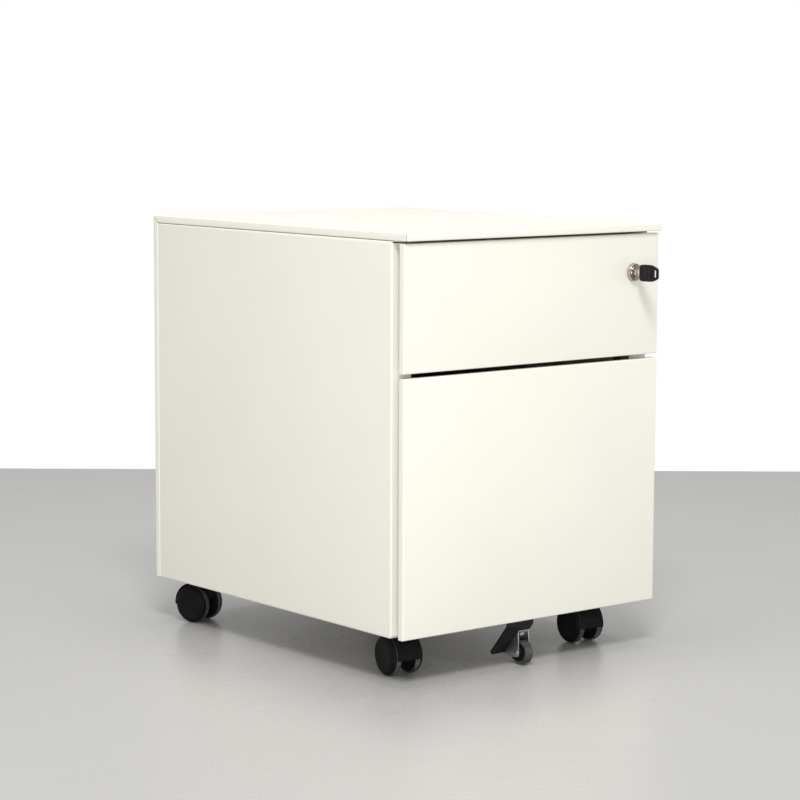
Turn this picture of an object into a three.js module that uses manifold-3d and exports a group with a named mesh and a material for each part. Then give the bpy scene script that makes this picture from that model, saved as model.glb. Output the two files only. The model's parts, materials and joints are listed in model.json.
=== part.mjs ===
// Rolling pedestal cabinet: a sheet-steel carcass on four twin-wheel casters, with a box drawer over a file
// drawer, a key lock that works a central lock bar, and a small anti-tip wheel under the file drawer.
// Millimetres, +Z up. The drawers open towards -Y and +X is the user's right when facing them.
// Inside the cabinet group, y is the distance behind the front edge of the top.
import * as THREE from "three";
import { mergeVertices } from "three/addons/utils/BufferGeometryUtils.js";
import Module from "manifold-3d";

const wasm = await Module();
wasm.setup();

// ---- Driving dimensions -------------------------------------------------------------------------------
const WIDTH = 420;
const DEPTH = 535; // front edge of the top to the face of the back
const HEIGHT = 548;
const BODY_FLOOR = 60; // underside of the carcass above the floor
const SHEET = 1;
const TRAY = 10; // depth of the folded edge of the top and back
const SEAM = 1; // shadow gap under the edge of the top
const FIT = 0.4; // gap between pieces that touch

const SIDE_FRONT = 26.5; // front plane of the side panels
const SIDE_RETURN = 30; // width of the side panels' front flange

const FRONT_FACE = 5; // face of the drawer fronts
const FRONT_WIDTH = 417.2;
const FRONT_TRAY = 10;
const UPPER_FRONT = { low: 381, high: 535 };
const LOWER_FRONT = { low: 60.5, high: 375.4 };

const BOX_HALF = 166; // half the outer width of the drawer boxes
const BOX_FRONT = 15.6;
const BOX_BACK = 480;
const UPPER_BOX = { low: 392, high: 470 };
const LOWER_BOX = { low: 72.2, high: 322 };

const SLIDE_UPPER_Z = 430;
const SLIDE_LOWER_Z = 122;
const SLIDE_FRONT = 30;
const SLIDE_BACK = 480;

const LOCK = { x: 164.5, z: 486.7 };
const KEY_REACH = 39.6; // how far the key stands out in front of the top
const KEY_PIVOT_Y = -15;
const LOCK_BAR_TRAVEL = 12;

const CASTER_FRONT = { x: 152, y: 98 };
const CASTER_BACK = { x: 162, y: 476 };
const CASTER_RADIUS = 25;
const CASTER_TRAIL = 18;

const TIP_WHEEL = { y: 25.5, radius: 15, gap: 0.6, half: 6 };

const ROUND = 32; // facets on the larger round pieces
const FINE = 20; // facets on the small ones

// ---- Materials ----------------------------------------------------------------------------------------
function finish(color, roughness, metalness) {
  return new THREE.MeshStandardMaterial({ color, roughness, metalness });
}
const ivoryPaint = finish(0xece8dc, 0.45, 0);
const zincSteel = finish(0xa9abaa, 0.35, 1);
const nickel = finish(0xb3a898, 0.28, 1);
const blackPaint = finish(0x171718, 0.5, 0);
const blackPlastic = finish(0x1a1a1b, 0.55, 0);
const keyPlastic = finish(0x2a2a2e, 0.6, 0);
const greyTyre = finish(0x5b5759, 0.8, 0);
const whitePlastic = finish(0xdddcd6, 0.6, 0);

// ---- Solids from three.js geometry --------------------------------------------------------------------
function solid(geometry) {
  const bare = geometry.index ? geometry.toNonIndexed() : geometry.clone();
  for (const name of ["normal", "uv"]) bare.deleteAttribute(name);
  const merged = mergeVertices(bare, 1e-4);
  return new wasm.Manifold(
    new wasm.Mesh({
      numProp: 3,
      vertProperties: new Float32Array(merged.attributes.position.array),
      triVerts: new Uint32Array(merged.index.array),
    }),
  );
}

function geometryOf(shape) {
  const mesh = shape.getMesh();
  const geometry = new THREE.BufferGeometry();
  geometry.setAttribute("position", new THREE.BufferAttribute(new Float32Array(mesh.vertProperties), 3));
  geometry.setIndex(new THREE.BufferAttribute(new Uint32Array(mesh.triVerts), 1));
  geometry.computeVertexNormals();
  return geometry;
}

const join = (first, ...others) => others.reduce((whole, part) => whole.add(part), first);
const cut = (first, ...others) => others.reduce((whole, part) => whole.subtract(part), first);

function block(x0, x1, y0, y1, z0, z1) {
  const geometry = new THREE.BoxGeometry(x1 - x0, y1 - y0, z1 - z0);
  return solid(geometry.translate((x0 + x1) / 2, (y0 + y1) / 2, (z0 + z1) / 2));
}

// An outline of [a, b] points swept along one axis: (y, z) along x, (z, x) along y, (x, y) along z.
const AXES = { x: [1, 2, 0], y: [2, 0, 1], z: [0, 1, 2] };
function sweep(outline, axis, from, to) {
  const shape = new THREE.Shape(outline.map(([a, b]) => new THREE.Vector2(a, b)));
  const geometry = new THREE.ExtrudeGeometry(shape, { depth: to - from, bevelEnabled: false });
  const unit = [0, 1, 2].map((i) => new THREE.Vector3().setComponent(i, 1));
  const [first, second, along] = AXES[axis].map((i) => unit[i]);
  geometry.translate(0, 0, from).applyMatrix4(new THREE.Matrix4().makeBasis(first, second, along));
  return solid(geometry);
}

// A round bar along x, y or z through the point [x, y, z], from one place on that axis to another.
function rod(axis, [x, y, z], radius, from, to, facets = FINE, endRadius = radius) {
  const geometry = new THREE.CylinderGeometry(endRadius, radius, to - from, facets);
  geometry.rotateY(Math.PI / facets); // a flat faces each way, so that a wheel stands on a flat
  const middle = (from + to) / 2;
  if (axis === "x") return solid(geometry.rotateZ(-Math.PI / 2).translate(middle, y, z));
  if (axis === "y") return solid(geometry.translate(x, middle, z));
  return solid(geometry.rotateX(Math.PI / 2).translate(x, y, middle));
}

// The outline of a folded strip: a centre line of [a, b] points given a thickness, with mitred bends.
function strip(points, thickness) {
  const line = points.map(([a, b]) => new THREE.Vector2(a, b));
  const side = (sign) =>
    line.map((point, i) => {
      const before = point.clone().sub(line[Math.max(i - 1, 0)]).normalize();
      const after = line[Math.min(i + 1, line.length - 1)].clone().sub(point).normalize();
      if (i === 0) before.copy(after);
      if (i === line.length - 1) after.copy(before);
      const normal = new THREE.Vector2(-before.y - after.y, before.x + after.x).normalize();
      const reach = thickness / 2 / normal.dot(new THREE.Vector2(-after.y, after.x));
      return point.clone().addScaledVector(normal, sign * reach);
    });
  return [...side(-1), ...side(1).reverse()].map((point) => point.toArray());
}

// A sheet-metal tray: a closed box of sheet whose back is opened, leaving a folded return round its edge.
function tray([x, z0, z1], [y0, y1], rim) {
  return cut(
    block(-x, x, y0, y1, z0, z1),
    block(-x + SHEET, x - SHEET, y0 + SHEET, y1 - SHEET, z0 + SHEET, z1 - SHEET),
    block(-x + rim, x - rim, y1 - 2 * SHEET, y1 + SHEET, z0 + rim, z1 - rim),
  );
}

const cabinet = new THREE.Group();
cabinet.position.y = (KEY_REACH - DEPTH) / 2; // the origin is at the middle of the cabinet and its key

function add(name, shape, material, group = cabinet) {
  const mesh = new THREE.Mesh(geometryOf(shape), material);
  mesh.name = name;
  group.add(mesh);
  return mesh;
}

// Adds a piece made for the right-hand side, and its mirror image for the left.
function addPair(name, shape, material) {
  add(`${name}_right`, shape, material);
  add(`${name}_left`, shape, material).scale.x = -1;
}

// ---- Carcass ------------------------------------------------------------------------------------------
const half = WIDTH / 2;
const underTop = HEIGHT - TRAY;
const backFront = DEPTH - TRAY;
const sideTop = underTop - SEAM;
const sideBack = backFront - FIT;

// The wedge behind (or above) the 45 degree mitre where the top meets the back.
function mitre(sign) {
  const reach = 4 * TRAY;
  const shift = (sign * FIT) / 2;
  const low = [backFront - reach - shift, underTop - reach];
  const high = [backFront + reach - shift, underTop + reach];
  const corner = sign > 0 ? [high[0], low[1]] : [low[0], high[1]];
  return sweep(sign > 0 ? [low, corner, high] : [low, high, corner], "x", -half - 1, half + 1);
}

function topCover() {
  const rim = 15;
  return cut(
    block(-half, half, 0, DEPTH, underTop, HEIGHT),
    block(-half + SHEET, half - SHEET, SHEET, DEPTH + 1, underTop + SHEET, HEIGHT - SHEET),
    block(-half + rim, half - rim, rim, DEPTH + 1, underTop - 1, underTop + 2 * SHEET),
    mitre(1),
  );
}

function backPanel() {
  const rim = 20;
  return cut(
    block(-half, half, backFront, DEPTH, BODY_FLOOR, HEIGHT),
    block(-half + SHEET, half - SHEET, backFront + SHEET, DEPTH - SHEET, BODY_FLOOR + SHEET, HEIGHT + 1),
    block(-half + rim, half - rim, backFront - 1, backFront + 2 * SHEET, BODY_FLOOR + rim, HEIGHT + 1),
    mitre(-1),
  );
}

function sidePanel() {
  const flange = half - 20;
  const cornerNotch = 3;
  return join(
    block(half - SHEET, half, SIDE_FRONT, sideBack, BODY_FLOOR, sideTop),
    block(half - SIDE_RETURN, half, SIDE_FRONT, SIDE_FRONT + SHEET, BODY_FLOOR + cornerNotch, sideTop),
    block(flange, half, SIDE_FRONT, sideBack, sideTop - SHEET, sideTop),
    block(flange, half, SIDE_FRONT + cornerNotch, sideBack, BODY_FLOOR, BODY_FLOOR + SHEET),
    block(flange, half, sideBack - SHEET, sideBack, BODY_FLOOR, sideTop),
  );
}

// A shallow tray between the side panels, with a lower edge at the front so that the drawer passes over it.
const basePlateLow = BODY_FLOOR + SHEET + FIT;
function basePan() {
  const x = half - SHEET - FIT;
  const [front, back] = [SIDE_FRONT + SHEET + 0.5, sideBack - SHEET - FIT];
  const high = basePlateLow + 12;
  return cut(
    block(-x, x, front, back, basePlateLow, high),
    block(-x + SHEET, x - SHEET, front + SHEET, back - SHEET, basePlateLow + SHEET, high + 1),
    block(-x - 1, x + 1, front - 1, front + 2 * SHEET, basePlateLow + 4.6, high + 1),
  );
}

// A channel across the cabinet, just under the top and a little way behind the drawer front.
function frontTopRail() {
  const inside = half - SHEET - FIT;
  const [front, back] = [66, 84.5];
  const [low, high] = [515, sideTop - SHEET - FIT];
  return cut(block(-inside, inside, front, back, low, high),
    block(-inside - 1, inside + 1, front + 1.2, back + 1, low + 1.2, high - 1.2));
}

// An upright channel that carries the back ends of the slides.
function rearPost() {
  const wall = 1.5;
  const [inner, outer] = [179.3, 206];
  const [front, back] = [455, 490];
  const foot = basePlateLow + SHEET + FIT;
  return cut(block(inner, outer, front, back, foot, sideTop - SHEET - FIT),
    block(inner + wall, outer + 1, front + wall, back - wall, foot - 1, sideTop));
}

add("top_cover", topCover(), ivoryPaint);
add("back_panel", backPanel(), ivoryPaint);
addPair("side_panel", sidePanel(), ivoryPaint);
add("base_pan", basePan(), ivoryPaint);
add("front_top_rail", frontTopRail(), ivoryPaint);
addPair("rear_post", rearPost(), zincSteel);

// ---- Drawer slides ------------------------------------------------------------------------------------
const SLIDE_WALL = 1.2;
const SLIDE_OUTER_X = 178.9;
const SLIDE_INNER_X = BOX_HALF + 0.3;

// A C-shaped slide member for the right-hand side. The inner one opens away from the drawer.
function slideMember(z, halfHeight, [x0, x1], [y0, y1], opensInwards) {
  const hollow = opensInwards ? [x0 - 1, x1 - SLIDE_WALL] : [x0 + SLIDE_WALL, x1 + 1];
  return cut(block(x0, x1, y0, y1, z - halfHeight, z + halfHeight),
    block(...hollow, y0 - 1, y1 + 1, z - halfHeight + SLIDE_WALL, z + halfHeight - SLIDE_WALL));
}

function slideOuter(z) {
  const halfHeight = 22.5;
  const tabFront = SIDE_FRONT + SHEET + 0.6;
  const tab = block(SLIDE_OUTER_X - SLIDE_WALL, 200, tabFront, SLIDE_FRONT + SLIDE_WALL, z - 15, z + 15);
  const channel = slideMember(z, halfHeight, [168.6, SLIDE_OUTER_X], [SLIDE_FRONT, SLIDE_BACK], true);
  const behindTab = block(SLIDE_OUTER_X, 201, tabFront + SLIDE_WALL, SLIDE_FRONT + 2, z - 16, z + 16);
  return channel.add(cut(tab, behindTab));
}

const slideMiddle = () =>
  slideMember(SLIDE_LOWER_Z, 18.6, [168.6, 176.9], [SLIDE_FRONT + 2, SLIDE_BACK - 10], true);
const slideInner = (z, halfHeight) =>
  slideMember(z, halfHeight, [SLIDE_INNER_X, 174.8], [BOX_FRONT + 1, SLIDE_BACK - 5], false);

addPair("upper_slide_outer", slideOuter(SLIDE_UPPER_Z), zincSteel);
addPair("upper_slide_inner", slideInner(SLIDE_UPPER_Z, 18.5), zincSteel);
addPair("lower_slide_outer", slideOuter(SLIDE_LOWER_Z), zincSteel);
addPair("lower_slide_middle", slideMiddle(), zincSteel);
addPair("lower_slide_inner", slideInner(SLIDE_LOWER_Z, 14.7), zincSteel);

// ---- Drawers ------------------------------------------------------------------------------------------
const drawerFront = ({ low, high }) =>
  tray([FRONT_WIDTH / 2, low, high], [FRONT_FACE, FRONT_FACE + FRONT_TRAY], 15);

const drawerBox = ({ low, high }) =>
  cut(
    block(-BOX_HALF, BOX_HALF, BOX_FRONT, BOX_BACK, low, high),
    block(-BOX_HALF + SHEET, BOX_HALF - SHEET, BOX_FRONT + SHEET, BOX_BACK - SHEET, low + SHEET, high + 1),
  );

// An upside-down channel clipped over the top edge of the file drawer's side, for hanging folders.
function fileRail() {
  const [x0, x1] = [BOX_HALF - SHEET - 1.4, BOX_HALF + 1.4];
  const [low, high] = [LOWER_BOX.high - 8, LOWER_BOX.high + 1.6];
  return cut(block(x0, x1, 22, 474, low, high),
    block(BOX_HALF - SHEET - FIT, BOX_HALF + FIT, 21, 475, low - 1, LOWER_BOX.high + FIT));
}

// The angle on the file drawer's right side that the lock bar's hook drops in front of.
const CATCH = { x: BOX_HALF + 0.3, tip: 177, y: 62, low: 296, high: 312 };
function drawerCatch() {
  return join(
    block(CATCH.x, CATCH.x + 1.5, 52, 84, CATCH.low - 24, CATCH.high),
    block(CATCH.x, CATCH.tip, CATCH.y, CATCH.y + 2, CATCH.low, CATCH.high),
  );
}

const lockHole = rod("y", [LOCK.x, 0, LOCK.z], 9.7, FRONT_FACE - 1, FRONT_FACE + FRONT_TRAY + 1);
add("upper_drawer_front", cut(drawerFront(UPPER_FRONT), lockHole), ivoryPaint);
add("upper_drawer_box", drawerBox(UPPER_BOX), ivoryPaint);
add("lower_drawer_front", drawerFront(LOWER_FRONT), ivoryPaint);
add("lower_drawer_box", drawerBox(LOWER_BOX), ivoryPaint);
addPair("file_rail", fileRail(), zincSteel);
add("lower_drawer_catch", drawerCatch(), zincSteel);

// ---- Lock, key and lock bar ---------------------------------------------------------------------------
const atLock = [LOCK.x, 0, LOCK.z];
const PLUG_FACE = -2;
const HOUSING_BACK = 30;
const housingRadius = 9.3;
const plugRadius = 6.6;
const CAM = { front: 32.5, back: 35, reach: 19, halfWidth: 4 };

const rosette = cut(rod("y", atLock, 10.4, 0, FRONT_FACE - 0.3, ROUND, 11.5),
  rod("y", atLock, housingRadius + 0.3, -1, FRONT_FACE + 1));
const housing = cut(rod("y", atLock, housingRadius, PLUG_FACE + 0.5, HOUSING_BACK),
  rod("y", atLock, plugRadius + 0.3, PLUG_FACE - 1, HOUSING_BACK + 1));
const nut = cut(rod("y", atLock, 13.5, FRONT_FACE + SHEET + 0.4, FRONT_FACE + SHEET + 4, 6),
  rod("y", atLock, housingRadius + 0.3, FRONT_FACE, FRONT_FACE + 8));

const blade = { halfThick: 1, halfHeight: 4, tip: 18, bow: 6 };
const keyway = block(
  LOCK.x - blade.halfThick - 0.3,
  LOCK.x + blade.halfThick + 0.3,
  PLUG_FACE - 1,
  blade.tip + 0.4,
  LOCK.z - blade.halfHeight - 0.3,
  LOCK.z + blade.halfHeight + 0.3,
);
const plugBarrel = rod("y", atLock, plugRadius, PLUG_FACE, HOUSING_BACK + 0.4);
const plugTail = rod("y", atLock, 3, HOUSING_BACK, CAM.back);
const plug = cut(join(plugBarrel, plugTail), keyway);
const camPlate = join(
  rod("y", atLock, 7, CAM.front, CAM.back),
  block(LOCK.x - CAM.halfWidth, LOCK.x + CAM.halfWidth, CAM.front, CAM.back, LOCK.z, LOCK.z + CAM.reach),
);
const cam = cut(camPlate, rod("y", atLock, 3.3, CAM.front - 1, CAM.back + 1));

const atPivot = [LOCK.x, KEY_PIVOT_Y, LOCK.z];
const bladeSides = [LOCK.x - blade.halfThick, LOCK.x + blade.halfThick];
const keyBlade = cut(
  join(
    block(...bladeSides, KEY_PIVOT_Y, blade.tip - 3, LOCK.z - blade.halfHeight, LOCK.z + blade.halfHeight),
    block(...bladeSides, blade.tip - 4, blade.tip, LOCK.z - 1.5, LOCK.z + blade.halfHeight),
    rod("x", atPivot, blade.bow, ...bladeSides),
  ),
  rod("x", atPivot, 1.5, LOCK.x - 3, LOCK.x + 3),
);

// The key's plastic head: a rounded plate, forked round the blade so that it folds, with a thinner far end
// that has a slot for a key ring. Its profile is given as [y, half the height].
const HEAD = { half: 2.2, thinHalf: 1.5, step: -27.5, fork: -21.7, forkHalf: 1.3 };
const HEAD_FRONT = [[-29, 10.2], [-34.5, 8.4], [-38.6, 6.6], [-KEY_REACH, 4.8]];
const HEAD_PROFILE = [[-8, 8.6], [-10.5, 9.6], [-22, 10.8], ...HEAD_FRONT];
const RING_SLOT = { y0: -36.8, y1: -32.2, half: 4.6 };
function keyHead() {
  const slab = (x0, x1, y0, y1, halfHeight) =>
    block(LOCK.x + x0, LOCK.x + x1, y0, y1, LOCK.z - halfHeight, LOCK.z + halfHeight);
  const upper = HEAD_PROFILE.map(([y, z]) => [y, LOCK.z + z]);
  const lower = HEAD_PROFILE.map(([y, z]) => [y, LOCK.z - z]).reverse();
  return cut(
    sweep([...upper, ...lower], "x", LOCK.x - HEAD.half, LOCK.x + HEAD.half),
    slab(-4, -HEAD.thinHalf, -KEY_REACH - 1, HEAD.step, 12),
    slab(HEAD.thinHalf, 4, -KEY_REACH - 1, HEAD.step, 12),
    slab(-HEAD.forkHalf, HEAD.forkHalf, HEAD.fork, 0, 12),
    slab(-4, 4, RING_SLOT.y0, RING_SLOT.y1, RING_SLOT.half),
    rod("x", atPivot, 1.5, LOCK.x - 4, LOCK.x + 4),
  );
}

// A vertical strip behind the right front flange. The cam pushes its lug down as the key turns, and the hook
// at its lower end drops in front of the file drawer's catch.
const BAR = { x0: 184, x1: 186, y0: 46, y1: 60, low: 300, high: 500 };
function lockBar() {
  const lugTop = LOCK.z - CAM.halfWidth + LOCK_BAR_TRAVEL - 0.3;
  const hookLow = CATCH.high + 3;
  return join(
    block(BAR.x0, BAR.x1, BAR.y0, BAR.y1, BAR.low, BAR.high),
    block(BAR.x0, BAR.x1, 31, BAR.y1, lugTop - 12, lugTop),
    block(180.3, BAR.x1, 31, 38, lugTop - 5, lugTop),
    block(170, BAR.x1, 56, 60, hookLow, hookLow + 12),
  );
}

const guideSlot = block(BAR.x0 - FIT, BAR.x1 + FIT, BAR.y0 - FIT, BAR.y1 + FIT, 0, HEIGHT);
const lockBarGuide = (z) => cut(block(BAR.x0 - 1.4, half - SHEET - FIT, 42, 64, z, z + 24), guideSlot);

add("lock_rosette", rosette, nickel);
add("lock_housing", housing, nickel);
add("lock_nut", nut, zincSteel);
add("lock_plug", plug, nickel);
add("lock_cam", cam, zincSteel);
add("key_blade", keyBlade, nickel);
add("key_pivot_pin", rod("x", atPivot, 1.2, LOCK.x - HEAD.half, LOCK.x + HEAD.half, 12), nickel);
add("key_head", keyHead(), keyPlastic);
add("lock_bar", lockBar(), zincSteel);
add("lock_bar_guide_lower", lockBarGuide(340), whitePlastic);
add("lock_bar_guide_upper", lockBarGuide(440), whitePlastic);

// ---- Anti-tip wheel under the file drawer -------------------------------------------------------------
const tipAxleZ = TIP_WHEEL.radius + TIP_WHEEL.gap;
const STRAP = { x0: -32, x1: 11, thickness: 2.5 };
const slopeTop = [17.5, 53];
const slopeFoot = [50.5, 12.7];

// A steel strap screwed under the file drawer. It drops down behind the drawer front, then slopes back.
function tipStrap() {
  const tabZ = LOWER_BOX.low - 0.4 - STRAP.thickness / 2;
  const profile = strip([[54, tabZ], [17.5, tabZ], slopeTop, slopeFoot], STRAP.thickness);
  const strap = sweep(profile, "x", STRAP.x0, STRAP.x1);
  const clippedCorner = (x, inner) => sweep([[0, x], [0, inner], [12.4, inner], [17, x]], "y", 40, 60);
  return cut(strap, clippedCorner(STRAP.x0, STRAP.x0 + 4), clippedCorner(STRAP.x1, STRAP.x1 - 4));
}

// A point of the slope's centre line, shifted forwards off its face.
function onSlope(share, offset) {
  const [top, foot] = [new THREE.Vector2(...slopeTop), new THREE.Vector2(...slopeFoot)];
  const along = foot.clone().sub(top);
  const forwards = new THREE.Vector2(along.y, -along.x).normalize();
  return top.addScaledVector(along, share).addScaledVector(forwards, offset).toArray();
}

// A folded fork: a sloping web against the strap and two cheeks that reach down to the axle.
function tipFork() {
  const cheek = 1.5;
  const outer = 9.4;
  const face = STRAP.thickness / 2 + FIT;
  const [top, foot] = [onSlope(0.17, face), onSlope(0.99, face)];
  const web = [top, onSlope(0.17, face + cheek), onSlope(0.52, face + cheek), onSlope(0.52, face)];
  const side = [top, [22.5, 43], [20.4, tipAxleZ], [21.8, 11.6], [25, 10], [46, 8.6], foot];
  return cut(
    join(
      sweep(web, "x", -outer, outer),
      sweep(side, "x", -outer, -outer + cheek),
      sweep(side, "x", outer - cheek, outer),
    ),
    rod("x", [0, TIP_WHEEL.y, tipAxleZ], 2.3, -outer - 1, outer + 1, 12),
  );
}

const tipAxle = rod("x", [0, TIP_WHEEL.y, tipAxleZ], 2, -10.6, 10.6, 12);
const tipWheel = cut(
  rod("x", [0, TIP_WHEEL.y, tipAxleZ], TIP_WHEEL.radius, -TIP_WHEEL.half, TIP_WHEEL.half, ROUND),
  rod("x", [0, TIP_WHEEL.y, tipAxleZ], 2.3, -TIP_WHEEL.half - 1, TIP_WHEEL.half + 1, 12),
);

add("tip_wheel_strap", tipStrap(), blackPaint);
add("tip_wheel_fork", tipFork(), zincSteel);
add("tip_wheel_axle", tipAxle, zincSteel);
add("tip_wheel", tipWheel, greyTyre);

// ---- Casters ------------------------------------------------------------------------------------------
// In a caster's own group the swivel axis is the z axis and the axle lies CASTER_TRAIL in front of it.
const axleAt = [0, -CASTER_TRAIL, CASTER_RADIUS];
const PLATE = { low: basePlateLow - 2.3, high: basePlateLow - 0.3, half: 25 };
const HOOD_TOP = PLATE.low - 0.3;

// An arc of points about the axle in the (y, z) plane. 0 degrees points forwards and 90 up.
function arc(radius, fromDegrees, toDegrees, steps) {
  return Array.from({ length: steps + 1 }, (_, i) => {
    const angle = THREE.MathUtils.degToRad(fromDegrees + ((toDegrees - fromDegrees) * i) / steps);
    return [axleAt[1] - radius * Math.cos(angle), axleAt[2] + radius * Math.sin(angle)];
  });
}

function casterHood() {
  const fender = [...arc(28.6, -6, 130, 14), ...arc(26.2, 130, -6, 14)];
  const web = [...arc(27.5, 0, 110, 8), [4, 45], [4, 34], ...arc(8, 130, 0, 4)];
  return cut(
    join(
      sweep(fender.reverse(), "x", -17.5, 17.5),
      sweep(web.reverse(), "x", -8.4, 8.4),
      rod("x", axleAt, 8, -9.3, 9.3),
      rod("z", [0, 0, 0], 6.4, 32, HOOD_TOP, FINE),
      rod("z", [0, 0, 0], 12, 52.5, HOOD_TOP, FINE),
    ),
    rod("x", axleAt, 3.3, -11, 11, 12),
    rod("z", [0, 0, 0], 4.3, 35, HOOD_TOP + 1, 16),
  );
}

const casterPlate = join(
  block(-PLATE.half, PLATE.half, -PLATE.half, PLATE.half, PLATE.low, PLATE.high),
  rod("z", [0, 0, 0], 4, 36, PLATE.high, 16),
);

// A caster wheel with a closed outer face, and a blind bore that the axle enters from the inner side.
function casterWheel() {
  const [inner, shoulder, outer] = [10.2, 20.6, 22.5];
  const corner = CASTER_RADIUS / Math.cos(Math.PI / ROUND);
  return cut(
    join(
      rod("x", axleAt, corner, inner, shoulder, ROUND),
      rod("x", axleAt, corner, shoulder, outer, ROUND, corner - 1.8),
    ),
    rod("x", axleAt, 3.3, inner - 1, outer - 3, 12),
  );
}

const hood = casterHood();
const wheel = casterWheel();
const casterAxle = rod("x", axleAt, 3, -18.7, 18.7, 12);

// One caster, turned about its swivel. Each wheel is named for the side of the cabinet it is nearer.
function caster(name, x, y, swivelDegrees) {
  const group = new THREE.Group();
  group.position.set(x, y, 0);
  group.rotation.z = THREE.MathUtils.degToRad(swivelDegrees);
  cabinet.add(group);
  const turnedBack = Math.abs(swivelDegrees) > 90;
  const [plusSide, minusSide] = turnedBack ? ["left", "right"] : ["right", "left"];
  add(`${name}_hood`, hood, blackPlastic, group);
  add(`${name}_axle`, casterAxle, zincSteel, group);
  add(`${name}_wheel_${plusSide}`, wheel, blackPlastic, group);
  add(`${name}_wheel_${minusSide}`, wheel, blackPlastic, group).scale.x = -1;
  add(`${name}_plate`, casterPlate, zincSteel).position.set(x, y, 0);
}

caster("caster_front_left", -CASTER_FRONT.x, CASTER_FRONT.y, -7.5);
caster("caster_front_right", CASTER_FRONT.x, CASTER_FRONT.y, -6);
caster("caster_back_left", -CASTER_BACK.x, CASTER_BACK.y, 198);
caster("caster_back_right", CASTER_BACK.x, CASTER_BACK.y, 168);

export default cabinet;
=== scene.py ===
# Looks of the rolling pedestal cabinet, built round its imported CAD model.
# Shapes are worked out in millimetres in "cabinet" coordinates: x to the right, y backwards from the front
# edge of the top, z up from the floor. Mesh data is stored in metres in the row frame.
import json
import math

import bmesh
import bpy
from mathutils import Matrix, Vector


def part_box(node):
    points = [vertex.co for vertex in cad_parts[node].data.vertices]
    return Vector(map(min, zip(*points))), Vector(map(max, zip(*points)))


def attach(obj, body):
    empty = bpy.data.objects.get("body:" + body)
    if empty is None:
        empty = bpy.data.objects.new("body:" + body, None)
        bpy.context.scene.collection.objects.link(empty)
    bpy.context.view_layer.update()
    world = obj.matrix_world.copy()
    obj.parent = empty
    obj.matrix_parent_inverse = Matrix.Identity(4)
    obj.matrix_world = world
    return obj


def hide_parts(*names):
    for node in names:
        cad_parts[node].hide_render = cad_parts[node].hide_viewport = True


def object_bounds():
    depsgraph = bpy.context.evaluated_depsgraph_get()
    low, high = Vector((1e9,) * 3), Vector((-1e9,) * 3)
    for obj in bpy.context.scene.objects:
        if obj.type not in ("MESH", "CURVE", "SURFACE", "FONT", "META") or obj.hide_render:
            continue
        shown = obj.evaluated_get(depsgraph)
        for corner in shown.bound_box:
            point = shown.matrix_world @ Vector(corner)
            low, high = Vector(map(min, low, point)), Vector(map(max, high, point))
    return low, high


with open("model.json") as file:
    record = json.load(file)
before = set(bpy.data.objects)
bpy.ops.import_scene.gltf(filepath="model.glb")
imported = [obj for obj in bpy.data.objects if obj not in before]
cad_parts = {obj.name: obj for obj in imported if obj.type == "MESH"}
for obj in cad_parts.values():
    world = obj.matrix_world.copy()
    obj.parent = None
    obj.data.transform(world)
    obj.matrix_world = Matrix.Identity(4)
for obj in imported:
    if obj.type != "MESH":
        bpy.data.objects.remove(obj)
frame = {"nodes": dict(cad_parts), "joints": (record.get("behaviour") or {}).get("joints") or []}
cad_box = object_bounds()
joints = {joint["name"]: joint for joint in frame["joints"]}

FRONT_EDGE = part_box("top_cover")[0].y  # the row frame's y where the cabinet's y is 0


def cab(x, y, z):
    """A cabinet point in millimetres, as a row-frame point in metres."""
    return Vector((x / 1000, y / 1000 + FRONT_EDGE, z / 1000))


def cad_mm(node):
    """The lowest and highest corner of a CAD node, in cabinet millimetres."""
    shift = Vector((0, FRONT_EDGE, 0))
    return [(corner - shift) * 1000 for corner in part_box(node)]


# ---- Materials ----------------------------------------------------------------------------------------


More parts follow.
